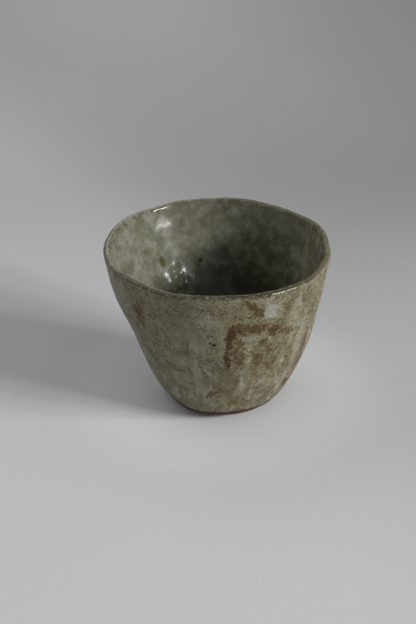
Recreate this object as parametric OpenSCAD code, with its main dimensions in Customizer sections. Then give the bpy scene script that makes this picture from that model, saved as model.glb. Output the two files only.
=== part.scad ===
// A hand-pinched sake cup: a leaning stoneware bowl that stands on a low ring of bare clay.
// One coat of glaze lines its inside and turns over the lip, and a second one clothes its outside.
// The origin is on the table under the middle of the foot, and the front faces -Y.

/* [Bowl] */
// Width of the bowl over its lip
rim_d = 72; // [66:0.5:80]
// Height of the lip above the table
rim_h = 53.3; // [48:0.2:60]
// Height of the well's lowest point above the table
well_h = 7.4; // [6:0.1:12]
// Thickness of the lip, with its glaze
lip_t = 2.2; // [2:0.1:3.4]
// How far the lip leans out over one side of the foot
lean = 2.6; // [0:0.1:5]

/* [Foot] */
// Width of the foot ring
foot_d = 32.6; // [29:0.2:38]
// Width of the face that the ring stands on
foot_w = 4; // [3:0.1:6]
// How far the ring lifts the bowl off the table
foot_h = 0.8; // [0.6:0.1:2]
// Rounding along the ring's lower edges
foot_round = 0.25; // [0.1:0.05:0.4]
// How far the bowl's flat underside reaches out past the ring
foot_ledge = 0.7; // [0.6:0.05:1.5]
// Rounding of the bowl's edge at its underside
edge_round = 0.25; // [0.1:0.05:0.4]
// Rise of the hollow that is scraped under the bowl
hollow_h = 0.8; // [0.3:0.1:1.5]

/* [Glaze] */
// Thickness of each coat
glaze_t = 0.5; // [0.3:0.05:0.7]
// Least height of the clay that stays bare above the underside
bare_h = 0.4; // [0.3:0.05:1]
// Extra height of the bare clay where the outer coat stops short
bare_swell = 0.9; // [0:0.1:1.5]
// How far below the round of the lip the two coats meet
seam_drop = 0.4; // [0.3:0.05:1.5]

/* [Pinching] */
// Depth of the deepest finger push in the wall
push_depth = 1.6; // [0:0.1:2]
// Height of the lip's largest rise, and depth of its largest fall
lip_wave = 1.3; // [0:0.1:2.5]

/* [Hidden] */

// Facets round the bowl, and rows up its outside, over its lip and down its inside
BOWL_FN = 72;
ROUND = 2 * round(BOWL_FN / 2);
OUT_ROWS = 12;
LIP_ROWS = 5;
IN_ROWS = 12;
IN_START = OUT_ROWS + 1 + LIP_ROWS;
ALL_ROWS = IN_START + IN_ROWS;
SEAM_ROW = OUT_ROWS - 1;
// Facets round the foot ring, and steps in its rounded edges
FOOT_ROUND_FN = 96;
EDGE_STEPS = 4;

// Direction of the lean, and where the outer coat stops short, in degrees from +X
LEAN_TURN = 207;
SWELL_TURN = 225;
SWELL_HALF = 40;

// How full the wall and the well are: 1 would be a plain cone
belly_share = 0.665;
well_share = 0.42;
// How the rows crowd towards the foot, and how the coat turns under the well
row_ease_share = 1.2;
turn_ease_share = 2;
// Where the scraped hollow bends, across its radius and up its rise
hollow_r_share = 0.55;
hollow_h_share = 0.72;

// Finger pushes in the wall: angle, height up the wall, half width in degrees, half height, depth
push_shares = [
    [8, 1.00, 16, 0.30, -0.55],
    [36, 1.00, 16, 0.35, 0.20],
    [62, 1.00, 20, 0.35, -0.45],
    [105, 1.00, 22, 0.35, 0.50],
    [168, 1.00, 16, 0.30, -0.10],
    [192, 1.00, 14, 0.25, -0.45],
    [200, 0.74, 22, 0.12, 0.35],
    [203, 0.48, 24, 0.15, -0.50],
    [203, 0.83, 12, 0.07, 0.80],
    [222, 0.92, 18, 0.25, -0.45],
    [236, 0.52, 10, 0.30, -0.20],
    [248, 0.08, 26, 0.14, 1.00],
    [262, 0.44, 10, 0.28, -0.20],
    [282, 0.95, 22, 0.30, -0.50],
    [292, 0.60, 12, 0.16, -0.20],
    [298, 0.06, 22, 0.12, -0.25],
    [318, 0.95, 18, 0.30, 0.50],
    [322, 0.45, 9, 0.20, 0.20],
    [338, 1.00, 16, 0.30, -0.80],
    [344, 0.79, 12, 0.06, 0.60],
    [345, 0.42, 28, 0.20, 0.50],
    [350, 0.94, 14, 0.06, 0.30],
];

// Rises and falls of the lip: angle, half width in degrees, height
wave_shares = [
    [12, 16, 0.95],
    [40, 16, -0.25],
    [70, 18, 0.35],
    [98, 14, -0.35],
    [124, 9, -0.55],
    [176, 14, -0.80],
    [198, 14, -0.80],
    [222, 14, 0.40],
    [266, 16, 0.40],
    [312, 14, 0.35],
    [334, 14, -0.40],
    [352, 12, -0.90],
];

// Sizes that follow from the ones above
rim_r = rim_d / 2;
lip_r = lip_t / 2;
well_r = rim_r - lip_t;
foot_r = foot_d / 2;
foot_in_r = foot_r - foot_w;
base_r = foot_r + foot_ledge + glaze_t;
wall_foot = foot_h + edge_round;

// Sum of a list, and a smooth hump that is 1 at 0
function total(list) = list * [for (x = list) 1];
function hump(d) = exp(-d * d);
// Angle between two directions, from -180 to 180
function apart(a, b) = a - b - 360 * round((a - b) / 360);

// Shape of the wall
// How far the fingers have moved the wall at angle a and height share v
function pushed(a, v) =
    push_depth * total([for (p = push_shares)
        p[4] * hump(apart(a, p[0]) / p[2]) * hump((v - p[1]) / p[3])]);
// Height of the lip at angle a
function lip_h(a) =
    rim_h + lip_wave * total([for (w = wave_shares) w[2] * hump(apart(a, w[0]) / w[1])]);
// Height where the wall ends and the round of the lip begins
function wall_top(a) = lip_h(a) - lip_r;
function wall_rise(a) = wall_top(a) - wall_foot;
function wall_r(a, v) = base_r + (rim_r - base_r) * pow(v, belly_share) + pushed(a, v);
// Height share of the edge where the outer coat ends, and of the seam between the coats
function line_share(a) =
    (bare_h + bare_swell * hump(apart(a, SWELL_TURN) / SWELL_HALF)) / wall_rise(a);
function seam_share(a) = 1 - seam_drop / wall_rise(a);
// Height share of outer row j
function row_share(a, j) =
    j == 0 ? 0 :
    j == OUT_ROWS ? 1 :
    line_share(a) + (seam_share(a) - line_share(a)) * pow((j - 1) / (SEAM_ROW - 1), row_ease_share);

// Point at angle a, radius r and height z of the leaning bowl
function place(a, r, z) =
    let (shift = lean * (z - foot_h) / (rim_h - foot_h))
    [r * cos(a) + shift * cos(LEAN_TURN), r * sin(a) + shift * sin(LEAN_TURN), z];

// Points at angle a on row j, sunk by d below the finished surface
function out_point(a, j, d) =
    let (v = row_share(a, j))
    place(a, wall_r(a, v) - d, wall_foot + wall_rise(a) * v);
function lip_point(a, j, d) =
    let (turn = 180 * (j - OUT_ROWS) / (LIP_ROWS + 1))
    place(a, wall_r(a, 1) - lip_r + (lip_r - d) * cos(turn), wall_top(a) + (lip_r - d) * sin(turn));
function in_point(a, j, d) =
    let (t = 1 - (j - IN_START) / IN_ROWS)
    let (z = well_h + (wall_top(a) - well_h) * t * t)
    let (r = well_r * pow(t, 2 * well_share) + t * pushed(a, (z - wall_foot) / wall_rise(a)))
    let (turn = 90 * pow(1 - t, turn_ease_share))
    place(a, r + d * cos(turn), z - d * sin(turn));
function point(a, j, d) =
    j <= OUT_ROWS ? out_point(a, j, d) :
    j < IN_START ? lip_point(a, j, d) :
    in_point(a, j, d);

// Rings of points, all round the bowl
function ring(j, d) = [for (i = [0 : ROUND - 1]) point(360 * i / ROUND, j, d)];
function rings(first, last, d) = [for (j = [first : last]) each ring(j, d)];
function rings_back(first, last, d) = [for (j = [last : -1 : first]) each ring(j, d)];
// A level ring of radius r at height z
function flat_ring(r, z) = [for (i = [0 : ROUND - 1]) place(360 * i / ROUND, r, z)];
// The rim of the flat underside, just inside the bare edge of the wall
function seat_ring() =
    [for (i = [0 : ROUND - 1])
        let (a = 360 * i / ROUND)
        place(a, wall_r(a, 0) - glaze_t - edge_round, foot_h)];

// Triangles between the ring that starts at point p and the next, at point q
function band(p, q) =
    [for (i = [0 : ROUND - 1])
        let (n = (i + 1) % ROUND)
        each [[p + i, q + i, q + n], [p + i, q + n, p + n]]];
// The same for a coat's back, whose rings run the other way, so its facets match those it lies on
function band_back(p, q) =
    [for (i = [0 : ROUND - 1])
        let (n = (i + 1) % ROUND)
        each [[p + i, q + i, p + n], [q + i, q + n, p + n]]];
function bands(first, count) =
    [for (k = [0 : count - 2]) each band(first + k * ROUND, first + (k + 1) * ROUND)];
function bands_back(first, count) =
    [for (k = [0 : count - 2]) each band_back(first + k * ROUND, first + (k + 1) * ROUND)];
// Triangles that open a surface at its lone point c, or close it there
function fan_open(c, q) = [for (i = [0 : ROUND - 1]) [c, q + i, q + (i + 1) % ROUND]];
function fan_close(p, c) = [for (i = [0 : ROUND - 1]) [p + i, c, p + (i + 1) % ROUND]];

// The pinched bowl of stoneware: flat seat, scraped hollow, wall, lip and well, under its coats
module clay_body() {
    points = concat(
        [place(0, 0, foot_h + hollow_h)],
        flat_ring(foot_in_r * hollow_r_share, foot_h + hollow_h * hollow_h_share),
        flat_ring(foot_in_r, foot_h),
        flat_ring(foot_r, foot_h),
        seat_ring(),
        rings(0, ALL_ROWS - 1, glaze_t),
        [point(0, ALL_ROWS, glaze_t)]
    );
    ring_count = (len(points) - 2) / ROUND;
    faces = concat(
        fan_open(0, 1),
        bands(1, ring_count),
        fan_close(1 + (ring_count - 1) * ROUND, len(points) - 1)
    );
    color("#6b5a49") polyhedron(points, faces, convexity = 6);
}

// Quarter round from angle a0 about the centre c, for the ring's lower edges
function quarter(c, a0) =
    [for (k = [0 : EDGE_STEPS])
        let (a = a0 + 90 * k / EDGE_STEPS)
        c + foot_round * [cos(a), sin(a)]];

// The low ring of bare clay that the bowl stands on
module foot_ring() {
    outline = concat(
        [[foot_r, foot_h], [foot_in_r, foot_h]],
        quarter([foot_in_r + foot_round, foot_round], 180),
        quarter([foot_r - foot_round, foot_round], 270)
    );
    color("#5d4638") rotate_extrude($fn = FOOT_ROUND_FN) polygon(outline);
}

// The glossy coat that fills the well and turns over the lip, down to the seam
module inner_glaze() {
    count = ALL_ROWS - SEAM_ROW;
    front = count * ROUND;
    points = concat(
        rings(SEAM_ROW, ALL_ROWS - 1, 0),
        [point(0, ALL_ROWS, 0), point(0, ALL_ROWS, glaze_t)],
        rings_back(SEAM_ROW, ALL_ROWS - 1, glaze_t)
    );
    faces = concat(
        bands(0, count),
        fan_close(front - ROUND, front),
        fan_open(front + 1, front + 2),
        bands_back(front + 2, count),
        band(len(points) - ROUND, 0)
    );
    color("#8a8c76") polyhedron(points, faces, convexity = 6);
}

// The sandy coat on the outside, from the bare clay at the foot up to the seam
module outer_glaze() {
    count = SEAM_ROW;
    points = concat(
        rings(1, SEAM_ROW, 0),
        rings_back(1, SEAM_ROW, glaze_t)
    );
    faces = concat(
        bands(0, count),
        band((count - 1) * ROUND, count * ROUND),
        bands_back(count * ROUND, count),
        band(len(points) - ROUND, 0)
    );
    color("#93907a") polyhedron(points, faces, convexity = 6);
}

clay_body();
foot_ring();
inner_glaze();
outer_glaze();
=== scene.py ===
"""Dresses the CAD model of a hand-pinched sake cup: glaze, bare clay, sand, table, light and camera."""

import math
import random

import bpy
from mathutils import Matrix, Vector, kdtree


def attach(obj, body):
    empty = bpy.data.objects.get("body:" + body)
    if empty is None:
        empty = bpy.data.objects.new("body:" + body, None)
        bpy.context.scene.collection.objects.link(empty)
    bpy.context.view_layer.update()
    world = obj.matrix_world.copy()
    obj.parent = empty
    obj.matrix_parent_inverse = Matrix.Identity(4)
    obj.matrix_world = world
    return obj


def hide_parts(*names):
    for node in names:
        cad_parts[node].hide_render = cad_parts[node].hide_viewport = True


bl_info = {
    "name": "Pinched Sake Cup",
    "version": (1, 0, 0),
    "blender": (4, 5, 0),
    "location": "3D View > Sidebar > Sake Cup",
    "description": "Dresses the model of a hand-pinched sake cup in glaze, bare clay and studio light",
    "category": "Object",
}

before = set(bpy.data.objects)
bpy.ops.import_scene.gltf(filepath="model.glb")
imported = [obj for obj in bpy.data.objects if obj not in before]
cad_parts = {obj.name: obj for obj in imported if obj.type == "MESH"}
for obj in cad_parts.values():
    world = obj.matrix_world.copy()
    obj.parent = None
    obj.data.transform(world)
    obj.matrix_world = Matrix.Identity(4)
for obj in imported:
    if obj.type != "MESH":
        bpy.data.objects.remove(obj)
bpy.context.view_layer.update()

MM = 0.001

# The potted shape, as the part's source states it, in mm and degrees
LEAN = 2.6
LEAN_TURN = 207.0
LEAN_AIM = (math.cos(math.radians(LEAN_TURN)), math.sin(math.radians(LEAN_TURN)))
FOOT_H = 0.8
RIM_H = 53.3
RING_STEP = 5
SEAM_PATH = 2.6
HOLLOW_RADIUS = 11.8

# Levels of subdivision that round the coats, and the depth (mm) of the inner glaze's relief
ROUNDING = 2
INNER_RELIEF = 0.14

# The table and its backdrop, in metres
TABLE_SIZE = 3.0
BACKDROP_HEIGHT = 1.6
SWEEP = 0.8

# Kinds of socket in the node groups
FLOAT, VECTOR, COLOUR = "NodeSocketFloat", "NodeSocketVector", "NodeSocketColor"

# Fixed tones of the finishes, beside the colours that the panel offers
SOOTY_GRAIN = (0.030, 0.025, 0.010)
MILK = (0.29, 0.295, 0.28)
BURNT_GLAZE = (0.066, 0.043, 0.013)
FOOT_BROWN_AND_SHADOW = (0.040, 0.014, 0.008)
NICK_BROWN = (0.014, 0.011, 0.006)
COOL_GREY = (0.150, 0.165, 0.145)
MOSS = (0.070, 0.067, 0.033)
CURDS = (0.256, 0.252, 0.222)
WELL_SHADE_BLACK = (0.010, 0.008, 0.003)
SHADE_BLACK = (0.010, 0.009, 0.005)
CREST_OLIVE = (0.058, 0.052, 0.018)
INSIDE_OLIVE = (0.050, 0.044, 0.018)
LIP_BROWN = (0.026, 0.020, 0.008)
LIP_RED = (0.032, 0.017, 0.008)
SPOT_OLIVE = (0.040, 0.034, 0.009)
SPECK_BLACK = (0.006, 0.006, 0.004)
SPECK_BROWN = (0.018, 0.015, 0.010)
WORN_CLAY = (0.20, 0.13, 0.09)
PALE_SAND = (0.33, 0.26, 0.19)
TABLE_SHADE = (0.06, 0.06, 0.06)

# Sand grains: pale tone, dark tone, roughness
QUARTZ = ((0.34, 0.32, 0.24), (0.20, 0.17, 0.10), 0.16)
IRON_SAND = ((0.020, 0.014, 0.008), (0.060, 0.034, 0.016), 0.30)

# Patches are given in mm on a wall that is taken to be this many mm round for each degree
MM_PER_DEGREE = 0.5

# Iron-brown breaks in the outer glaze:
# turn, height, half width, half height (mm), tilt (degrees), strength
IRON_BREAKS = [
    (276.3, 39.6, 1.6, 2.6, 0.0, 1.25),
    (275.0, 36.4, 1.1, 3.4, 0.0, 1.20),
    (281.5, 41.0, 3.4, 2.0, 2.0, 0.92),
    (291.0, 40.1, 3.0, 1.8, 0.0, 0.86),
    (300.2, 38.7, 2.0, 2.3, -8.0, 0.94),
    (309.0, 36.6, 3.0, 1.3, -24.0, 0.72),
    (273.8, 28.8, 1.2, 4.6, 0.0, 1.00),
    (279.2, 30.0, 1.9, 5.2, 4.0, 0.72),
    (279.8, 35.4, 2.2, 1.4, 0.0, 0.70),
    (283.2, 52.4, 1.1, 2.0, 32.0, 0.88),
    (287.2, 49.4, 1.2, 2.2, 32.0, 0.88),
    (290.2, 46.6, 1.4, 2.4, 26.0, 0.86),
    (294.6, 34.4, 1.4, 1.6, 0.0, 0.80),
    (292.5, 27.6, 1.8, 2.6, 0.0, 0.74),
    (299.0, 30.5, 1.3, 3.2, 0.0, 0.62),
    (301.0, 23.8, 1.8, 2.0, 0.0, 0.70),
    (222.5, 40.0, 2.0, 5.0, -8.0, 0.66),
    (217.5, 27.5, 2.0, 5.0, -4.0, 0.42),
    (229.0, 34.5, 2.0, 3.0, 10.0, 0.40),
    (252.0, 31.5, 2.6, 1.4, 14.0, 0.34),
    (330.0, 40.5, 1.3, 4.5, 4.0, 0.55),
    (329.8, 26.0, 1.5, 6.0, 4.0, 0.80),
    (331.0, 18.0, 1.5, 5.0, -4.0, 0.84),
    (325.0, 11.5, 1.5, 3.2, 16.0, 0.86),
    (264.5, 13.2, 3.2, 1.5, 14.0, 0.55),
    (277.0, 8.8, 2.6, 1.3, -10.0, 0.60),
    (244.0, 15.0, 3.6, 2.2, 8.0, 0.30),
    (120.0, 36.0, 5.0, 2.4, 15.0, 0.70),
    (96.0, 24.0, 2.0, 5.0, -8.0, 0.60),
    (48.0, 30.0, 2.0, 7.0, 6.0, 0.60),
    (160.0, 17.0, 4.0, 2.0, -12.0, 0.60),
    (20.0, 42.0, 4.0, 1.8, 10.0, 0.60),
]

# Places where the outer glaze lies thick and pale, in the same order; the tall streaks near turns 312 to 321
# also stand in as a painted highlight down the ridge that faces the window
THICK_GLAZE_AND_SHEEN = [
    (297.5, 46.5, 2.4, 3.0, 20.0, 0.60),
    (291.5, 51.2, 2.6, 1.4, -4.0, 0.60),
    (254.0, 21.0, 1.6, 8.0, 3.0, 0.60),
    (257.0, 14.0, 1.5, 5.0, 3.0, 0.40),
    (242.0, 18.0, 3.2, 5.5, -8.0, 0.46),
    (208.0, 45.0, 5.0, 6.5, -4.0, 0.62),
    (205.0, 30.0, 2.6, 6.0, -4.0, 0.34),
    (246.0, 34.0, 2.2, 3.6, 0.0, 0.36),
    (243.5, 26.0, 2.6, 2.6, 0.0, 0.45),
    (259.0, 32.5, 2.0, 2.4, 10.0, 0.55),
    (266.0, 43.5, 2.6, 3.8, 0.0, 0.40),
    (286.5, 36.8, 2.8, 1.1, 8.0, 0.55),
    (285.0, 19.0, 1.5, 6.0, 4.0, 0.40),
    # Pale glaze with a painted highlight down the ridge that faces the window
    (312.0, 44.0, 1.6, 6.0, -6.0, 0.55),
    (321.0, 30.0, 1.6, 9.0, -4.0, 0.62),
    (318.0, 13.5, 1.8, 5.0, -6.0, 0.60),
    (140.0, 34.0, 3.0, 7.0, 6.0, 0.55),
    (75.0, 38.0, 2.4, 6.0, -5.0, 0.60),
    (185.0, 28.0, 2.0, 8.0, 4.0, 0.50),
    (30.0, 20.0, 2.4, 7.0, -6.0, 0.55),
]

# Drained places where the clay shows olive through thin glaze, in the same order
THIN_GLAZE = [
    (266.5, 20.0, 2.2, 6.0, 0.0, 0.60),
    (274.5, 15.0, 3.0, 4.6, 0.0, 0.60),
    (293.0, 21.5, 2.4, 5.5, 6.0, 0.45),
    (249.0, 29.0, 2.0, 4.0, 0.0, 0.45),
]

# Dark nicks and a short crack in the outer coat, in the same order
NICKS = [
    (266.6, 35.0, 0.80, 0.62, -32.0, 1.0),
    (264.4, 35.6, 0.45, 0.40, 0.0, 1.0),
    (235.6, 23.2, 0.30, 1.70, 48.0, 1.0),
    (242.5, 21.9, 1.90, 0.30, 4.0, 1.0),
    (221.8, 42.0, 0.40, 1.90, 24.0, 1.0),
    (252.0, 40.5, 0.60, 0.22, 12.0, 0.6),
]

# A milky run under the lip, in the same order
MILKY_GLAZE = [
    (296.8, 46.6, 1.6, 3.0, 4.0, 0.55),
    (297.6, 45.4, 1.2, 1.5, 0.0, 0.80),
]

# An olive spot, a black speck and crinkled places in the inner coat, in the same order
OLIVE_SPOT = [(131.2, 36.2, 1.35, 1.9, 0.0, 1.0)]
BLACK_SPECK = [(102.9, 34.1, 0.6, 0.6, 0.0, 1.0)]
CRINKLED_GLAZE = [
    (124.0, 46.0, 3.4, 3.0, 0.0, 0.8),
    (119.6, 32.8, 2.0, 2.2, 0.0, 0.5),
]

# Ripples that mirror the window in the well, on the inside wall and along the lip:
# turn, height, reach (mm), depth (mm)
GLAZE_RIPPLES = [
    (112.4, 25.0, 4.9, 0.24),
    (124.4, 31.0, 4.3, -0.28),
    (128.3, 31.1, 2.6, 0.56),
    (128.8, 28.8, 1.5, 0.35),
    (120.1, 31.1, 1.5, 0.37),
    (118.3, 27.8, 1.2, 0.20),
    (115.7, 31.3, 3.8, 0.37),
    (124.6, 26.2, 1.2, -0.29),
    (123.8, 32.1, 1.2, -0.36),
    (117.8, 30.7, 1.2, -0.06),
    (134.2, 31.0, 2.6, 0.13),
    (116.9, 29.4, 1.5, 0.08),
    (115.8, 26.8, 1.3, 0.12),
    (112.2, 29.2, 1.2, 0.07),
    (111.3, 27.6, 1.2, 0.10),
    (127.0, 45.6, 1.4, 0.11),
    (124.4, 46.2, 1.1, 0.08),
    (121.8, 45.6, 1.3, 0.10),
    (119.6, 46.0, 1.0, 0.07),
    (295.6, 53.0, 2.8, 0.62),
]


class GlazeSettings(bpy.types.PropertyGroup):
    """Colours and relief of the two coats of glaze"""

    celadon: bpy.props.FloatVectorProperty(
        name="Celadon", description="Glaze where it lies at its usual depth",
        subtype="COLOR", size=3, min=0, max=1, default=(0.167, 0.159, 0.102))
    olive: bpy.props.FloatVectorProperty(
        name="Olive", description="Glaze where it lies thin over the clay",
        subtype="COLOR", size=3, min=0, max=1, default=(0.080, 0.067, 0.028))
    pale: bpy.props.FloatVectorProperty(
        name="Pale", description="Glaze where it has pooled thick and milky",
        subtype="COLOR", size=3, min=0, max=1, default=(0.250, 0.244, 0.184))
    iron: bpy.props.FloatVectorProperty(
        name="Iron", description="Iron-brown where the clay burns through",
        subtype="COLOR", size=3, min=0, max=1, default=(0.036, 0.012, 0.002))
    ochre: bpy.props.FloatVectorProperty(
        name="Ochre", description="Rusty sand under the glaze",
        subtype="COLOR", size=3, min=0, max=1, default=(0.134, 0.090, 0.038))
    lump_depth: bpy.props.FloatProperty(
        name="Lump Depth", description="Depth of the soft lumps left by the fingers",
        unit="LENGTH", min=0, max=0.001, default=0.00032)
    sand_depth: bpy.props.FloatProperty(
        name="Sand Depth", description="Relief of the sandy outer coat",
        unit="LENGTH", min=0, max=0.0005, default=0.00016)
    ripple_depth: bpy.props.FloatProperty(
        name="Ripple Depth", description="Depth of the ripples in the inner coat",
        unit="LENGTH", min=0, max=0.001, default=0.00026)


class ClaySettings(bpy.types.PropertyGroup):
    """Colours of the bare stoneware and the sand in it"""

    clay: bpy.props.FloatVectorProperty(
        name="Clay", description="Bare iron-bearing stoneware",
        subtype="COLOR", size=3, min=0, max=1, default=(0.125, 0.073, 0.050))
    scorched: bpy.props.FloatVectorProperty(
        name="Scorched", description="Dark fired edge of the bare clay",
        subtype="COLOR", size=3, min=0, max=1, default=(0.052, 0.030, 0.022))
    grain_count: bpy.props.IntProperty(
        name="Grains", description="Grains of sand that stand out of the outer glaze",
        min=0, max=1500, default=460)
    grain_size: bpy.props.FloatProperty(
        name="Grain Size", description="Radius of the largest grain",
        unit="LENGTH", min=0.0001, max=0.001, default=0.00020)


class StageSettings(bpy.types.PropertyGroup):
    """Table, light and camera"""

    table: bpy.props.FloatVectorProperty(
        name="Table", description="Colour of the table and backdrop",
        subtype="COLOR", size=3, min=0, max=1, default=(0.450, 0.450, 0.459))
    sky: bpy.props.FloatProperty(
        name="Sky", description="Strength of the even light from all round",
        min=0, max=2, default=0.585)
    window: bpy.props.FloatProperty(
        name="Window", description="Brightness of the window panes, in watts per square metre",
        min=0, max=400, default=101.0)
    window_turn: bpy.props.FloatProperty(
        name="Window Turn", description="Direction of the window round the cup",
        unit="ROTATION", default=math.radians(-22))
    window_height: bpy.props.FloatProperty(
        name="Window Height", description="Elevation of the window above the table",
        unit="ROTATION", default=math.radians(23))
    ceiling: bpy.props.FloatProperty(
        name="Ceiling", description="Brightness of the wide soft light above and behind the cup",
        min=0, max=50, default=1.2)


# Shape helpers


def upright(point):
    """Turn (degrees), radius and height (mm) of a point once the cup's lean is taken out."""
    x, y, z = (c / MM for c in point)
    shift = LEAN * (z - FOOT_H) / (RIM_H - FOOT_H)
    x -= shift * LEAN_AIM[0]
    y -= shift * LEAN_AIM[1]
    return math.degrees(math.atan2(y, x)) % 360, math.hypot(x, y), z


def ring_table(points, side=1):
    """Radius and height of the highest point in each ring direction, or the lowest for side -1."""
    found = {}
    for point in points:
        turn, radius, height = upright(point)
        key = round(turn / RING_STEP) % (360 // RING_STEP)
        if key not in found or side * height > side * found[key][1]:
            found[key] = (radius, height)
    return found


def along_ring(table, turn):
    """Radius and height of a ring table at any turn."""
    at = turn / RING_STEP
    low = int(at)
    share = at - low
    first, second = table[low % len(table)], table[(low + 1) % len(table)]
    return [a + (b - a) * share for a, b in zip(first, second)]


def smooth_step(low, high, value):
    """Smooth rise from 0 to 1 while value goes from low to high."""
    share = min(max((value - low) / (high - low), 0.0), 1.0)
    return share * share * (3 - 2 * share)


# Modelling helpers


def work_on(piece):
    """Makes a piece the only selected object, and the active one."""
    if bpy.context.mode != "OBJECT":
        bpy.ops.object.mode_set(mode="OBJECT")
    bpy.ops.object.select_all(action="DESELECT")
    piece.select_set(True)
    bpy.context.view_layer.objects.active = piece


def copy_of_node(node, name):
    """A new piece from a CAD node's mesh, its loose triangles merged and paired into quads."""
    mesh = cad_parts[node].data.copy()
    mesh.name = name
    mesh.materials.clear()
    piece = bpy.data.objects.new(name, mesh)
    bpy.context.scene.collection.objects.link(piece)
    work_on(piece)
    bpy.ops.mesh.customdata_custom_splitnormals_clear()
    bpy.ops.object.mode_set(mode="EDIT")
    bpy.ops.mesh.select_all(action="SELECT")
    bpy.ops.mesh.remove_doubles(threshold=0.002 * MM)
    bpy.ops.mesh.tris_convert_to_quads(face_threshold=math.radians(80), shape_threshold=math.radians(80))
    bpy.ops.object.mode_set(mode="OBJECT")
    return piece


def hidden_vertices(piece, node):
    """Indices of the piece's vertices that lie on a CAD node's vertices, and so are never seen."""
    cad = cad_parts[node].data
    tree = kdtree.KDTree(len(cad.vertices))
    for vertex in cad.vertices:
        tree.insert(vertex.co, vertex.index)
    tree.balance()
    return {v.index for v in piece.data.vertices if tree.find(v.co)[2] < 0.004 * MM}


def select_parts(piece, kind, wanted):
    """Selects in edit mode the faces, or for the kind EDGE the edges, for which wanted(part) holds."""
    work_on(piece)
    bpy.ops.object.mode_set(mode="EDIT")
    bpy.ops.mesh.select_mode(type=kind)
    bpy.ops.mesh.select_all(action="DESELECT")
    bpy.ops.object.mode_set(mode="OBJECT")
    for part in piece.data.edges if kind == "EDGE" else piece.data.polygons:
        part.select = wanted(part)
    bpy.ops.object.mode_set(mode="EDIT")


def refine(piece, cuts, wanted):
    """Cuts the faces for which wanted(face) holds into smaller ones."""
    select_parts(piece, "FACE", wanted)
    bpy.ops.mesh.subdivide(number_cuts=cuts)
    bpy.ops.object.mode_set(mode="OBJECT")


def weigh(piece, name, weight):
    """Gives the piece a vertex group whose weights come from weight(vertex)."""
    group = piece.vertex_groups.get(name) or piece.vertex_groups.new(name=name)
    for vertex in piece.data.vertices:
        group.add([vertex.index], weight(vertex), "REPLACE")


def round_coat(coat, back, on_seam):
    """Rounds a coat but for its creased seam, and returns a test for vertices of its visible skin."""
    vertices = coat.data.vertices
    select_parts(coat, "EDGE", lambda edge: all(
        v not in back and on_seam(vertices[v].co) for v in edge.vertices))
    bpy.ops.transform.edge_crease(value=1)
    bpy.ops.object.mode_set(mode="OBJECT")
    weigh(coat, "finish", lambda vertex: 0.0 if vertex.index in back else 1.0)
    modifier = coat.modifiers.new("Rounding", "SUBSURF")
    modifier.levels = modifier.render_levels = ROUNDING
    bpy.ops.object.modifier_apply(modifier=modifier.name)
    finish = coat.vertex_groups["finish"].index
    return lambda vertex: any(g.group == finish and g.weight > 0.99 for g in vertex.groups)


def press(piece, name, size, depth, group, middle=0.6, stretch=1.0, detail=1):
    """Presses cloudy relief of a given grain size into the piece, and applies it."""
    texture = bpy.data.textures.new(name, "CLOUDS")
    texture.noise_scale = size
    texture.noise_depth = detail
    guide = bpy.data.objects.new(name + " guide", None)
    bpy.context.scene.collection.objects.link(guide)
    guide.scale = (1, 1, stretch)
    bpy.context.view_layer.update()
    modifier = piece.modifiers.new(name, "DISPLACE")
    modifier.texture = texture
    modifier.texture_coords = "OBJECT"
    modifier.texture_coords_object = guide
    modifier.strength = depth
    modifier.mid_level = middle
    modifier.vertex_group = group
    work_on(piece)
    bpy.ops.object.modifier_apply(modifier=modifier.name)
    bpy.data.objects.remove(guide)
    bpy.data.textures.remove(texture)


def store(piece, name, value):
    """Stores a float for every vertex, for the materials to read."""
    layer = piece.data.attributes.new(name, "FLOAT", "POINT")
    layer.data.foreach_set("value", [value(vertex) for vertex in piece.data.vertices])


def finish_piece(piece, material, slot, *nodes):
    """Smooths a piece, gives it its finish and lets it ride in place of the CAD nodes it shows."""
    piece.data.materials.append(material)
    work_on(piece)
    bpy.ops.object.shade_smooth_by_angle(angle=math.radians(50))
    bpy.ops.object.select_all(action="DESELECT")
    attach(piece, "root")
    if nodes:
        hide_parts(*nodes)


# Node trees


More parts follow.
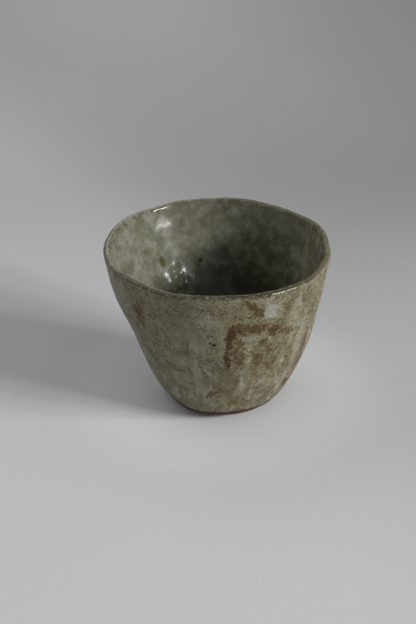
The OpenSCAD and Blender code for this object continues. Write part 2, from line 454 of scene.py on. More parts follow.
class Wiring:
    """Adds the nodes of one tree in tidy columns, and links them as they are added."""

    def __init__(self, tree):
        self.tree = tree
        self.count = 0

    def node(self, kind, feeds=None, **settings):
        """A new node with its settings made and its inputs fed."""
        made = self.tree.nodes.new(kind)
        made.location = (230 * (self.count // 5), -210 * (self.count % 5))
        self.count += 1
        for name, value in settings.items():
            setattr(made, name, value)
        for key, value in (feeds or {}).items():
            self.feed(made.inputs[key], value)
        return made

    def feed(self, socket, value):
        """Links another node's output to the socket, or sets a plain value on it."""
        if isinstance(value, bpy.types.NodeSocket):
            self.tree.links.new(value, socket)
        elif socket.type == "RGBA" and len(value) == 3:
            socket.default_value = (*value, 1)
        else:
            socket.default_value = value

    def math(self, operation, a, b=0.0, c=0.0):
        return self.node("ShaderNodeMath", {0: a, 1: b, 2: c}, operation=operation).outputs[0]

    def plus(self, total, *others):
        """The sum of two or more values."""
        for other in others:
            total = self.math("ADD", total, other)
        return total

    def minus(self, a, b):
        return self.math("SUBTRACT", a, b)

    def times(self, product, *others):
        """The product of two or more values."""
        for other in others:
            product = self.math("MULTIPLY", product, other)
        return product

    def per(self, a, b):
        return self.math("DIVIDE", a, b)

    def scale(self, value, factor, offset):
        """The value times a factor, plus an offset."""
        return self.math("MULTIPLY_ADD", value, factor, offset)

    def most(self, a, b):
        return self.math("MAXIMUM", a, b)

    def rise(self, value, low, high, bottom=0.0, top=1.0):
        """Smooth rise from bottom to top while value goes from low to high."""
        made = self.node("ShaderNodeMapRange", {"Value": value, "From Min": low, "From Max": high,
                                                "To Min": bottom, "To Max": top},
                         interpolation_type="SMOOTHSTEP")
        return made.outputs["Result"]

    def blend(self, share, first, second):
        """The first colour, with a share of the second mixed in."""
        return self.node("ShaderNodeMix", {0: share, 6: first, 7: second}, data_type="RGBA").outputs[2]

    def noise(self, point, scale, detail=2.0, roughness=0.5):
        """Cloudy noise between 0 and 1."""
        return self.node("ShaderNodeTexNoise", {"Vector": point, "Scale": scale, "Detail": detail,
                                                "Roughness": roughness}).outputs["Fac"]

    def group(self, name, build, feeds):
        """The outputs of a shared node group, which is built the first time it is asked for."""
        tree = bpy.data.node_groups.get(name) or build(name)
        return self.node("ShaderNodeGroup", feeds, node_tree=tree).outputs


def new_group(name, inputs, outputs):
    """A node group with named sockets, each given its kind or, for a number, its default."""
    tree = bpy.data.node_groups.new(name, "ShaderNodeTree")
    for title, kind in inputs.items():
        if isinstance(kind, float):
            tree.interface.new_socket(title, in_out="INPUT", socket_type=FLOAT).default_value = kind
        else:
            tree.interface.new_socket(title, in_out="INPUT", socket_type=kind)
    for title, kind in outputs.items():
        tree.interface.new_socket(title, in_out="OUTPUT", socket_type=kind)
    wiring = Wiring(tree)
    return tree, wiring, wiring.node("NodeGroupInput").outputs


def build_cup_place(name):
    """Turns a point on the cup into its turn round the cup (degrees), height and radius (mm)."""
    tree, w, start = new_group(name, {"Point": VECTOR}, {"Turn": FLOAT, "Height": FLOAT, "Radius": FLOAT})
    split = w.node("ShaderNodeSeparateXYZ", {0: start["Point"]}).outputs
    height = w.times(split[2], 1 / MM)
    shift = w.times(w.minus(height, FOOT_H), LEAN / (RIM_H - FOOT_H))
    x = w.scale(shift, -LEAN_AIM[0], w.times(split[0], 1 / MM))
    y = w.scale(shift, -LEAN_AIM[1], w.times(split[1], 1 / MM))
    turn = w.times(w.math("ARCTAN2", y, x), 180 / math.pi)
    turn = w.math("FLOORED_MODULO", turn, 360.0)
    radius = w.math("SQRT", w.plus(w.times(x, x), w.times(y, y)))
    w.node("NodeGroupOutput", {"Turn": turn, "Height": height, "Radius": radius})
    return tree


def build_mound(name):
    """Height (mm) of one round mound of glaze, rounded like a bell."""
    tree, w, start = new_group(
        name,
        {"Turn": 0.0, "Height": 0.0, "Radius": 25.0, "Centre Turn": 120.0, "Centre Height": 30.0,
         "Reach": 2.0, "Depth": 0.2},
        {"Rise": FLOAT})
    across = w.times(w.minus(start["Turn"], start["Centre Turn"]), math.pi / 180)
    across = w.per(w.times(across, start["Radius"]), start["Reach"])
    up = w.per(w.minus(start["Height"], start["Centre Height"]), start["Reach"])
    away = w.plus(w.times(across, across), w.times(up, up))
    bell = w.math("EXPONENT", w.times(away, -1.0))
    w.node("NodeGroupOutput", {"Rise": w.times(bell, start["Depth"])})
    return tree


def build_soft_patch(name):
    """Mask of one ragged patch at a given turn and height."""
    tree, w, start = new_group(
        name,
        {"Turn": 0.0, "Height": 0.0, "Rag": 0.0, "Centre Turn": 270.0, "Centre Height": 30.0,
         "Half Width": 3.0, "Half Height": 3.0, "Tilt": 0.0, "Strength": 1.0},
        {"Mask": FLOAT})
    gap = w.minus(start["Turn"], start["Centre Turn"])
    gap = w.minus(w.math("FLOORED_MODULO", w.plus(gap, 180.0), 360.0), 180.0)
    across = w.times(gap, MM_PER_DEGREE)
    up = w.minus(start["Height"], start["Centre Height"])
    tilt = w.times(start["Tilt"], math.pi / 180)
    cosine, sine = w.math("COSINE", tilt), w.math("SINE", tilt)
    wide = w.plus(w.times(across, cosine), w.times(up, sine))
    tall = w.minus(w.times(up, cosine), w.times(across, sine))
    wide, tall = w.per(wide, start["Half Width"]), w.per(tall, start["Half Height"])
    away = w.math("SQRT", w.plus(w.times(wide, wide), w.times(tall, tall)))
    mask = w.rise(w.plus(away, start["Rag"]), 1.35, 0.55)
    w.node("NodeGroupOutput", {"Mask": w.times(mask, start["Strength"])})
    return tree


def build_specks(name):
    """Mask of round specks scattered in space: some cells hold one, some don't."""
    tree, w, start = new_group(
        name, {"Point": VECTOR, "Spacing": 0.001, "Size": 0.35, "Share": 0.3}, {"Mask": FLOAT})
    cells = w.node("ShaderNodeTexVoronoi", {"Vector": start["Point"], "Randomness": 1.0,
                                            "Scale": w.per(1.0, start["Spacing"])}).outputs
    tones = w.node("ShaderNodeSeparateColor", {0: cells["Color"]}).outputs
    radius = w.times(start["Size"], w.plus(w.times(tones[1], 0.6), 0.5))
    inside = w.rise(w.per(cells["Distance"], radius), 1.15, 0.6)
    chosen = w.math("LESS_THAN", tones[0], start["Share"])
    w.node("NodeGroupOutput", {"Mask": w.times(inside, chosen)})
    return tree


def build_sand_cells(name):
    """Packed grains of sand: two random tones and a rounded height for each."""
    tree, w, start = new_group(name, {"Point": VECTOR, "Grain": 0.0008},
                               {"Tone": FLOAT, "Other Tone": FLOAT, "Height": FLOAT})
    scale = w.per(1.0, start["Grain"])
    drift = w.node("ShaderNodeTexNoise", {"Vector": start["Point"], "Scale": w.times(scale, 0.8),
                                          "Detail": 2.0}).outputs["Color"]
    drift = w.node("ShaderNodeVectorMath", {0: drift, 1: (0.5, 0.5, 0.5)}, operation="SUBTRACT").outputs[0]
    drift = w.node("ShaderNodeVectorMath", {0: drift, "Scale": start["Grain"]}, operation="SCALE").outputs[0]
    point = w.node("ShaderNodeVectorMath", {0: start["Point"], 1: drift}, operation="ADD").outputs[0]
    cells = w.node("ShaderNodeTexVoronoi", {"Vector": point, "Scale": scale, "Randomness": 1.0}).outputs
    tones = w.node("ShaderNodeSeparateColor", {0: cells["Color"]}).outputs
    w.node("NodeGroupOutput", {"Tone": tones[0], "Other Tone": tones[1],
                               "Height": w.rise(cells["Distance"], 0.75, 0.05)})
    return tree


def build_clouds(name):
    """Soft cloudy share between 0 and 1, stretched up the wall where asked."""
    tree, w, start = new_group(
        name,
        {"Point": VECTOR, "Size": 0.01, "Upward Stretch": 1.0, "Low": 0.35, "High": 0.65, "Detail": 3.0},
        {"Share": FLOAT})
    split = w.node("ShaderNodeSeparateXYZ", {0: start["Point"]}).outputs
    flat = w.per(split[2], start["Upward Stretch"])
    point = w.node("ShaderNodeCombineXYZ", {0: split[0], 1: split[1], 2: flat}).outputs[0]
    share = w.noise(point, w.per(1.0, start["Size"]), start["Detail"], 0.55)
    w.node("NodeGroupOutput", {"Share": w.rise(share, start["Low"], start["High"])})
    return tree


def build_sandy_skin(name):
    """Colour and height of the sandy glaze, the same over the seam of the two coats."""
    tree, w, start = new_group(
        name,
        {"Point": VECTOR, "Turn": 0.0, "Height": 0.0, "Celadon": COLOUR, "Olive": COLOUR, "Pale": COLOUR,
         "Ochre": COLOUR},
        {"Colour": COLOUR, "Relief": FLOAT, "Grain Tone": FLOAT, "Fine Tone": FLOAT})
    point, height = start["Point"], start["Height"]
    coarse, fine = (w.group("Sand Cells", build_sand_cells, {"Point": point, "Grain": grain})
                    for grain in (0.00085, 0.00045))

    thin = w.plus(w.times(clouds(w, point, 0.011, 0.40, 0.60, 1.4), 0.32),
                  w.times(clouds(w, point, 0.0042, 0.40, 0.60, 1.3), 0.36),
                  w.times(clouds(w, point, 0.0017, 0.42, 0.62), 0.36))
    # Towards the window, round turn 330, the glaze is made more olive and sandy, and away from it less
    # olive: partly the glaze's own browner side, partly painted shade on the lit side and painted light on
    # the side in shade
    lit_side = facing(w, start["Turn"], 330.0, 0.45, 0.95)
    thin = w.times(thin, w.scale(lit_side, 0.28, 0.74))
    thin = w.plus(thin, w.rise(height, 15.0, 5.0, 0.0, 0.16))
    colour = w.blend(thin, start["Celadon"], start["Olive"])
    drags = w.times(clouds(w, point, 0.0032, 0.50, 0.66, 2.6), w.rise(height, 44.0, 22.0, 0.25, 0.75))
    colour = w.blend(drags, colour, start["Pale"])

    sandy = w.times(clouds(w, point, 0.007, 0.40, 0.56), w.rise(height, 16.0, 32.0, 0.35, 1.0))
    sandy = w.most(sandy, w.times(lit_side, w.rise(height, 10.0, 34.0, 0.45, 0.8)))
    for tone, low, high, in_sand, elsewhere, grain_colour in (
            (coarse["Tone"], 0.42, 0.22, 0.55, 0.12, SOOTY_GRAIN),
            (coarse["Other Tone"], 0.60, 0.80, 0.50, 0.08, start["Ochre"]),
            (fine["Tone"], 0.70, 0.90, 0.30, 0.10, start["Pale"]),
            (fine["Other Tone"], 0.30, 0.12, 0.30, 0.10, SOOTY_GRAIN)):
        grains = w.times(w.rise(tone, low, high), w.scale(sandy, in_sand, elsewhere))
        colour = w.blend(grains, colour, grain_colour)

    relief = w.plus(w.times(coarse["Height"], 0.7), w.times(fine["Height"], 0.3))
    relief = w.times(relief, w.scale(sandy, 0.7, 0.3))
    relief = w.plus(relief, w.times(w.noise(point, 480.0), 1.4))
    w.node("NodeGroupOutput", {"Colour": colour, "Relief": relief, "Grain Tone": coarse["Other Tone"],
                               "Fine Tone": fine["Tone"]})
    return tree


def build_sandy_relief(name):
    """Height of bare sandy clay: fine grit over small lumps, with pinholes."""
    tree, w, start = new_group(
        name, {"Point": VECTOR, "Grain": 0.0005, "Grit": 0.5, "Pinholes": 0.2}, {"Height": FLOAT})
    scale = w.per(1.0, start["Grain"])
    fine = w.noise(start["Point"], scale, 3.0, 0.65)
    lumps = w.noise(start["Point"], w.times(scale, 0.3))
    holes = specks(w, start["Point"], 0.0017, 0.22, start["Pinholes"])
    height = w.plus(w.times(fine, start["Grit"]), w.times(lumps, 0.8))
    w.node("NodeGroupOutput", {"Height": w.minus(height, w.times(holes, 0.7))})
    return tree


# Masks that the finishes share


def clouds(w, point, size, low, high, stretch=1.0, detail=3.0):
    """Soft clouds of a given size, from 0 where their noise is at low to 1 where it is at high."""
    return w.group("Clouds", build_clouds, {"Point": point, "Size": size, "Low": low, "High": high,
                                            "Upward Stretch": stretch, "Detail": detail})["Share"]


def specks(w, point, spacing, size, share):
    """Mask of round specks, by the spacing of their cells and the share of cells that hold one."""
    return w.group("Specks", build_specks, {"Point": point, "Spacing": spacing, "Size": size,
                                            "Share": share})["Mask"]


def facing(w, turn, towards, low, high, bottom=0.0, top=1.0):
    """Smooth rise from bottom to top as a turn comes to face a direction, by the cosine of their gap."""
    gap = w.times(w.minus(turn, towards), math.pi / 180)
    return w.rise(w.math("COSINE", gap), low, high, bottom, top)


def patches_mask(w, place, patches, rag):
    """The strongest of several ragged patches at each point."""
    total = 0.0
    for turn, height, wide, tall, tilt, strength in patches:
        mask = w.group("Soft Patch", build_soft_patch, {
            "Turn": place["Turn"], "Height": place["Height"], "Rag": rag, "Centre Turn": turn,
            "Centre Height": height, "Half Width": wide, "Half Height": tall, "Tilt": tilt,
            "Strength": strength})["Mask"]
        total = w.most(total, mask)
    return total


def sandy_skin(w, point, place, colours):
    """Colour, relief and grain tones of the sandy glaze."""
    return w.group("Sandy Skin", build_sandy_skin, {
        "Point": point, "Turn": place["Turn"], "Height": place["Height"], "Celadon": colours.celadon,
        "Olive": colours.olive, "Pale": colours.pale, "Ochre": colours.ochre})


# Materials


def new_material(name):
    """A material with an empty tree, its wiring and the point it is read at."""
    material = bpy.data.materials.new(name)
    material.use_nodes = True
    material.node_tree.nodes.clear()
    w = Wiring(material.node_tree)
    return material, w, w.node("ShaderNodeTexCoord").outputs["Object"]


def close_material(w, colour, roughness, height, depth, **constants):
    """Feeds the finished values to the shader, whose constants are set on its own sockets."""
    bump = w.node("ShaderNodeBump", {"Strength": 1.0, "Distance": depth * MM, "Height": height})
    shader = w.node("ShaderNodeBsdfPrincipled", {"Base Color": colour, "Roughness": roughness,
                                                 "Normal": bump.outputs["Normal"]})
    for title, value in constants.items():
        w.feed(shader.inputs[title.replace("_", " ")], value)
    w.node("ShaderNodeOutputMaterial", {"Surface": shader.outputs[0]})


def outer_glaze_material(colours):
    """Sandy half-matt celadon with iron breaks, thick pale pools and a brown edge at the foot, with a
    painted highlight down a ridge and painted contact shadow widening the foot edge on the left.
    """
    material, w, point = new_material("Sandy Outer Glaze")
    place = w.group("Cup Place", build_cup_place, {"Point": point})
    foot_rise = w.node("ShaderNodeAttribute", attribute_name="foot_rise").outputs["Fac"]
    skin = sandy_skin(w, point, place, colours)

    rag = w.scale(w.noise(point, 380.0, 4.0, 0.65), 2.4, -1.2)
    thick = patches_mask(w, place, THICK_GLAZE_AND_SHEEN, rag)
    thin = patches_mask(w, place, THIN_GLAZE, rag)
    milk = patches_mask(w, place, MILKY_GLAZE, w.times(rag, 0.8))
    colour = w.blend(w.times(thin, 0.62), skin["Colour"], colours.olive)
    # Thick pale glaze, with a painted highlight down the ridge near turns 312 to 321
    colour = w.blend(w.times(thick, 0.62), colour, colours.pale)
    colour = w.blend(w.times(milk, 0.62), colour, MILK)

    iron_rag = w.scale(w.noise(point, 520.0, 5.0, 0.72), 2.6, -1.3)
    sand = w.plus(w.scale(skin["Grain Tone"], 0.50, -0.25), w.scale(skin["Fine Tone"], 0.40, -0.20))
    iron = w.minus(patches_mask(w, place, IRON_BREAKS, iron_rag), sand)
    colour = w.blend(w.times(w.rise(iron, 0.12, 0.68), 0.85), colour, BURNT_GLAZE)
    iron = w.rise(iron, 0.64, 1.22)
    colour = w.blend(w.times(iron, 0.88), colour, colours.iron)
    # The brown edge of the glaze at the foot, where the clay's iron shows, widened round turn 240 by painted
    # contact shadow
    bare = w.minus(foot_rise, facing(w, place["Turn"], 240.0, 0.2, 1.0, 0.0, 1.1))
    edge = w.rise(w.scale(iron_rag, 0.30, bare), 1.7, 1.2)
    colour = w.blend(w.times(edge, 0.94), colour, FOOT_BROWN_AND_SHADOW)

    nicks = patches_mask(w, place, NICKS, w.times(iron_rag, 0.25))
    dark = w.most(w.times(specks(w, point, 0.0014, 0.25, 0.20), 0.8), nicks)
    colour = w.blend(dark, colour, NICK_BROWN)

    roughness = w.scale(skin["Grain Tone"], 0.12, 0.36)
    roughness = w.plus(roughness, w.times(w.most(iron, edge), 0.22))
    roughness = w.minus(roughness, w.times(thick, 0.14))
    roughness = w.minus(roughness, w.times(milk, 0.08))
    relief = w.minus(skin["Relief"], w.times(dark, 0.8))
    close_material(w, colour, roughness, relief, 0.15, IOR=1.48, Specular_IOR_Level=0.25)
    return material


def inner_glaze_material(colours):
    """Glossy grey-green glaze with olive clouds, which breaks brown over the lip."""
    material, w, point = new_material("Glossy Inner Glaze")
    place = w.group("Cup Place", build_cup_place, {"Point": point})
    height = place["Height"]
    path = w.node("ShaderNodeAttribute", attribute_name="lip_path").outputs["Fac"]
    skin = sandy_skin(w, point, place, colours)

    def side(towards, low, high, bottom=0.0, top=1.0):
        """Smooth rise towards one side of the cup."""
        return facing(w, place["Turn"], towards, low, high, bottom, top)

    def strip(start, full, fading, end):
        """Mask of a strip along the lip, between two places of the path over it."""
        return w.times(w.rise(path, start, full), w.rise(path, end, fading))

    broad = clouds(w, point, 0.009, 0.36, 0.64)
    small = clouds(w, point, 0.0036, 0.40, 0.66, detail=5.0)
    dabs = clouds(w, point, 0.0022, 0.42, 0.66, detail=5.0)
    flecks = clouds(w, point, 0.0008, 0.40, 0.66)
    cool = w.blend(side(165.0, -0.4, 0.8, 0.12, 0.50), colours.celadon, COOL_GREY)
    colour = w.blend(w.scale(broad, 0.56, 0.02), cool, MOSS)
    colour = w.blend(w.times(small, 0.56), colour, CURDS)
    colour = w.blend(w.times(dabs, 0.42), colour, MOSS)
    colour = w.blend(w.times(flecks, 0.24), colour, MOSS)

    # Painted shade: darker down the well and on the wall that turns its back to the window, less on the
    # window-lit left and a little less at the very bottom, standing in for the dim well and the lip's shadow
    level = w.plus(height, side(125.0, 0.80, 1.0, 0.0, 9.0), side(70.0, 0.5, 1.0, 0.0, -4.0),
                   w.scale(small, 4.0, -1.6))
    well_shade = w.times(w.rise(level, 41.0, 21.0), w.rise(height, 15.0, 23.0, 0.70, 0.90))
    colour = w.blend(well_shade, colour, WELL_SHADE_BLACK)
    # Painted shade over the whole inside, least round turn 30, with a painted shadow of the lip on the back
    # wall round turn 80
    shade = w.most(side(30.0, 0.95, 0.45, 0.14, 0.31), side(80.0, 0.2, 0.9, 0.0, 0.42))
    colour = w.blend(shade, colour, SHADE_BLACK)

    # Over the lip it thins, breaks olive and brown, and ends as sandy skin
    over = w.rise(path, 0.5, 1.5)
    colour = w.blend(over, colour, skin["Colour"])
    rag = w.noise(point, 620.0, 5.0, 0.75)
    crest = w.times(strip(-1.9, -0.9, 0.9, 1.6), w.rise(rag, 0.44, 0.56, 0.25, 1.0),
                    side(175.0, 0.3, 0.9, 0.85, 0.25))
    colour = w.blend(crest, colour, CREST_OLIVE)
    inside = w.times(strip(-3.6, -2.0, -1.4, -0.7), w.rise(rag, 0.47, 0.55),
                     side(175.0, 0.3, 0.9, 0.60, 0.75))
    colour = w.blend(inside, colour, INSIDE_OLIVE)
    inward = w.plus(path, side(185.0, 0.5, 0.9, 0.0, 1.1))
    band = w.times(w.rise(inward, -0.35, 0.15), w.rise(path, 2.6, 1.5), w.rise(rag, 0.30, 0.46),
                   side(268.0, 0.40, 0.92, 0.12, 1.0), w.rise(skin["Fine Tone"], 1.0, 0.6, 0.35, 0.95))
    colour = w.blend(band, colour, LIP_BROWN)
    scorched = w.times(strip(-0.5, -0.1, 0.3, 1.0), w.rise(rag, 0.40, 0.52),
                       side(228.0, 0.25, 0.7, 0.0, 0.70))
    colour = w.blend(scorched, colour, LIP_RED)
    rust = w.times(w.rise(path, -0.6, 0.4), w.rise(rag, 0.60, 0.70), 0.7)
    colour = w.blend(rust, colour, colours.ochre)
    front_line = w.times(strip(-0.95, -0.60, -0.42, -0.20), side(265.0, 0.55, 0.9, 0.0, 0.8))
    colour = w.blend(front_line, colour, colours.pale)
    # Painted highlight: a pale line along the crest at the back and left of the lip
    back_rim_highlight = w.times(strip(-1.0, -0.5, 0.3, 0.9),
                        w.times(side(150.0, 0.2, 0.8, 0.0, 0.6), w.rise(rag, 0.62, 0.40, 0.4)))
    colour = w.blend(back_rim_highlight, colour, colours.pale)

    spot = patches_mask(w, place, OLIVE_SPOT, w.scale(rag, 0.6, -0.3))
    colour = w.blend(w.times(spot, 0.9), colour, SPOT_OLIVE)
    colour = w.blend(patches_mask(w, place, BLACK_SPECK, 0.0), colour, SPECK_BLACK)
    dark = specks(w, point, 0.0021, 0.17, 0.35)
    colour = w.blend(w.times(dark, 0.6), colour, SPECK_BROWN)

    above = w.rise(height, 33.0, 38.0)
    crinkled = patches_mask(w, place, CRINKLED_GLAZE, 0.0)
    gleam = side(299.0, 0.975, 0.99)
    roughness = w.scale(small, 0.02, w.scale(above, -0.02, 0.15))
    roughness = w.plus(roughness, w.times(crinkled, above, 0.21), w.rise(height, 13.0, 9.5, 0.0, 0.20),
                       w.times(w.rise(path, -0.2, 1.4), w.scale(gleam, -0.16, 0.20)))
    grain = w.times(w.noise(point, 700.0), w.scale(above, 0.075, 0.025))
    relief = w.scale(w.times(w.noise(point, 1400.0), crinkled), 0.38, grain)
    relief = w.plus(relief, w.times(skin["Relief"], over, w.scale(gleam, -0.8, 1.0)))
    for centre_turn, centre_height, reach, depth in GLAZE_RIPPLES:
        mound = w.group("Mound", build_mound, {
            "Turn": place["Turn"], "Height": height, "Radius": place["Radius"],
            "Centre Turn": centre_turn, "Centre Height": centre_height, "Reach": reach,
            "Depth": depth})["Rise"]
        relief = w.scale(mound, 1 / INNER_RELIEF, relief)
    close_material(w, colour, roughness, relief, INNER_RELIEF, IOR=1.45, Specular_IOR_Level=0.27)
    return material


def bare_clay_material(name, colours, roughness):
    """Bare stoneware: gritty, dark with iron, with pale sand and scorched patches."""
    material, w, point = new_material(name)
    broad, fine = (clouds(w, point, size, 0.35, 0.65) for size in (0.006, 0.0006))
    colour = w.blend(w.times(broad, 0.7), colours.clay, colours.scorched)
    colour = w.blend(w.times(fine, 0.25), colour, WORN_CLAY)
    sand = specks(w, point, 0.0012, 0.28, 0.30)
    colour = w.blend(w.times(sand, 0.6), colour, PALE_SAND)
    relief = w.group("Sandy Relief", build_sandy_relief, {"Point": point, "Grain": 0.0006, "Grit": 0.8,
                                                          "Pinholes": 0.3})["Height"]
    close_material(w, colour, w.scale(fine, 0.2, roughness), relief, 0.14, IOR=1.45)
    return material


def grain_material(name, pale, dark, roughness):
    """Sand grains fired into the glaze."""
    material, w, point = new_material(name)
    tone = clouds(w, point, 0.0015, 0.4, 0.6)
    relief = w.noise(point, 3500.0)
    close_material(w, w.blend(tone, pale, dark), w.scale(tone, 0.1, roughness), relief, 0.03, IOR=1.54)
    return material


def table_material(colours):
    """Pale matt table with a faint weave, with painted shade where its tone falls off away from the light.
    """
    material, w, point = new_material("Pale Table")
    weave = w.noise(point, 1800.0, 3.0, 0.6)
    tone = clouds(w, point, 0.25, 0.2, 0.8)
    split = w.node("ShaderNodeSeparateXYZ", {0: point}).outputs
    away = w.node("ShaderNodeVectorMath", {0: point}, operation="LENGTH").outputs["Value"]
    # Painted shade, darker away from the light: a little way off the cup (close round it, painted light
    # against the cup's own shadow), towards the back right, in a band beside it and near the right edge
    shade = w.rise(away, 0.032, 0.062, 0.01, 0.155)
    to_right = w.rise(split[0], -0.097, 0.157, 0.257, 0.553)
    shade = w.scale(w.rise(split[1], -0.034, 0.189), to_right, shade)
    across = w.scale(split[0], 0.881, w.times(split[1], 0.473))
    band = w.times(w.rise(across, 0.005, 0.064), w.rise(across, 0.199, 0.064))
    shade = w.scale(band, 0.096, shade)
    near_right = w.times(w.rise(split[0], 0.02, 0.12), w.rise(split[1], 0.10, -0.05))
    shade = w.scale(near_right, 0.171, shade)
    shade = w.plus(w.scale(tone, 0.03, shade), w.scale(weave, 0.10, -0.05))
    colour = w.blend(shade, colours.table, TABLE_SHADE)
    close_material(w, colour, 0.85, weave, 0.08, IOR=1.3)
    return material


# Operators


class CUP_OT_bare_clay(bpy.types.Operator):
    """Dresses the clay body and the foot ring in bare stoneware"""

    bl_idname = "cup.bare_clay"
    bl_label = "Bare Clay"
    bl_options = {"REGISTER", "UNDO"}

    def execute(self, context):
        colours = context.scene.cup_clay
        body = copy_of_node("clay_body", "scraped_clay")
        coat = hidden_vertices(body, "inner_glaze") | hidden_vertices(body, "outer_glaze")
        refine(body, 3, lambda face: not all(v in coat for v in face.vertices))

        def in_hollow(vertex):
            """1 on the scraped clay inside the foot ring, and 0 elsewhere."""
            return float(0.82 * MM < vertex.co.z < 1.6 * MM and upright(vertex.co)[1] < HOLLOW_RADIUS)

        weigh(body, "scraped", in_hollow)
        press(body, "Scraping", 2.4 * MM, 0.28 * MM, "scraped", middle=0.5)
        finish_piece(body, bare_clay_material("Bare Clay", colours, 0.62), "bare_clay", "clay_body")

        ring = copy_of_node("foot_ring", "worn_foot")
        refine(ring, 1, lambda face: True)
        weigh(ring, "edges", lambda vertex: float(0.02 * MM < vertex.co.z < 0.6 * MM))
        press(ring, "Wear", 1.6 * MM, 0.12 * MM, "edges", middle=0.7)
        finish_piece(ring, bare_clay_material("Worn Foot", colours, 0.5), "foot_clay", "foot_ring")
        return {"FINISHED"}


class CUP_OT_outer_coat(bpy.types.Operator):
    """Models the sandy outer coat with its lumps, drags and grit"""

    bl_idname = "cup.outer_coat"
    bl_label = "Outer Coat"
    bl_options = {"REGISTER", "UNDO"}

    def execute(self, context):
        settings = context.scene.cup_glaze
        coat = copy_of_node("outer_glaze", "sandy_outer_glaze")
        back = hidden_vertices(coat, "clay_body")
        crest = ring_table([v.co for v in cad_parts["inner_glaze"].data.vertices])
        top = ring_table([v.co for v in coat.data.vertices])
        bottom = ring_table([v.co for v in coat.data.vertices if v.index not in back], -1)

        def on_seam(point):
            """Whether a point lies on the coat's upper edge, where the inner coat meets it."""
            turn, _, height = upright(point)
            return abs(height - along_ring(top, turn)[1]) < 0.01

        is_skin = round_coat(coat, back, on_seam)
        refine(coat, 1, lambda face: all(is_skin(coat.data.vertices[v]) for v in face.vertices))

        def lip_path(vertex):
            """Way (mm) from the crest of the lip, outwards and down."""
            turn, radius, height = upright(vertex.co)
            crest_radius, crest_height = along_ring(crest, turn)
            return radius - crest_radius + crest_height - height

        def foot_rise(vertex):
            """Height (mm) over the lower edge of the glaze."""
            turn, _, height = upright(vertex.co)
            return height - along_ring(bottom, turn)[1]

        def fade(vertex):
            """Share of the relief at a vertex: none on the back, the seam and the lower edge."""
            seam = smooth_step(SEAM_PATH, SEAM_PATH + 1.6, lip_path(vertex))
            return is_skin(vertex) * seam * smooth_step(0.0, 0.7, foot_rise(vertex))

        weigh(coat, "sandy", fade)
        press(coat, "Lumps", 6.5 * MM, settings.lump_depth, "sandy", middle=0.62)
        press(coat, "Drags", 2.6 * MM, 0.20 * MM, "sandy", middle=0.62, stretch=2.6)
        press(coat, "Sand", 0.9 * MM, settings.sand_depth, "sandy", detail=2)
        store(coat, "lip_path", lip_path)
        store(coat, "foot_rise", foot_rise)
        finish_piece(coat, outer_glaze_material(settings), "outer_glaze", "outer_glaze")
        return {"FINISHED"}


class CUP_OT_inner_coat(bpy.types.Operator):
    """Models the glossy inner coat, which ripples down the well and turns over the lip"""

    bl_idname = "cup.inner_coat"
    bl_label = "Inner Coat"
    bl_options = {"REGISTER", "UNDO"}

    def execute(self, context):
        settings = context.scene.cup_glaze
        coat = copy_of_node("inner_glaze", "glossy_inner_glaze")
        back = hidden_vertices(coat, "clay_body")
        crest = ring_table([v.co for v in coat.data.vertices])

        def grid(point):
            """A point to the nearest hundredth of a millimetre."""
            return tuple(round(c / (0.01 * MM)) for c in point)

        seam = {grid(v.co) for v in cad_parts["outer_glaze"].data.vertices}
        is_skin = round_coat(coat, back, lambda point: grid(point) in seam)

        def lip_path(vertex):
            """Way (mm) from the crest of the lip, over 0 outside it and under 0 inside."""
            turn, radius, height = upright(vertex.co)
            crest_radius, crest_height = along_ring(crest, turn)
            side = 1 if radius > crest_radius else -1
            return radius - crest_radius + side * max(crest_height - height, 0)

        def fade(vertex):
            """Share of the relief at a vertex: none on the back and at the seam."""
            return is_skin(vertex) * smooth_step(SEAM_PATH - 0.1, 0.4, lip_path(vertex))

        weigh(coat, "ripples", fade)
        press(coat, "Ripples", 6.0 * MM, settings.ripple_depth, "ripples", middle=0.5)
        weigh(coat, "lip", lambda vertex: fade(vertex) * smooth_step(-2.4, -1.0, lip_path(vertex)))
        press(coat, "Lip Wobble", 1.7 * MM, 0.26 * MM, "lip", middle=0.78)
        store(coat, "lip_path", lip_path)
        finish_piece(coat, inner_glaze_material(settings), "inner_glaze", "inner_glaze")
        return {"FINISHED"}


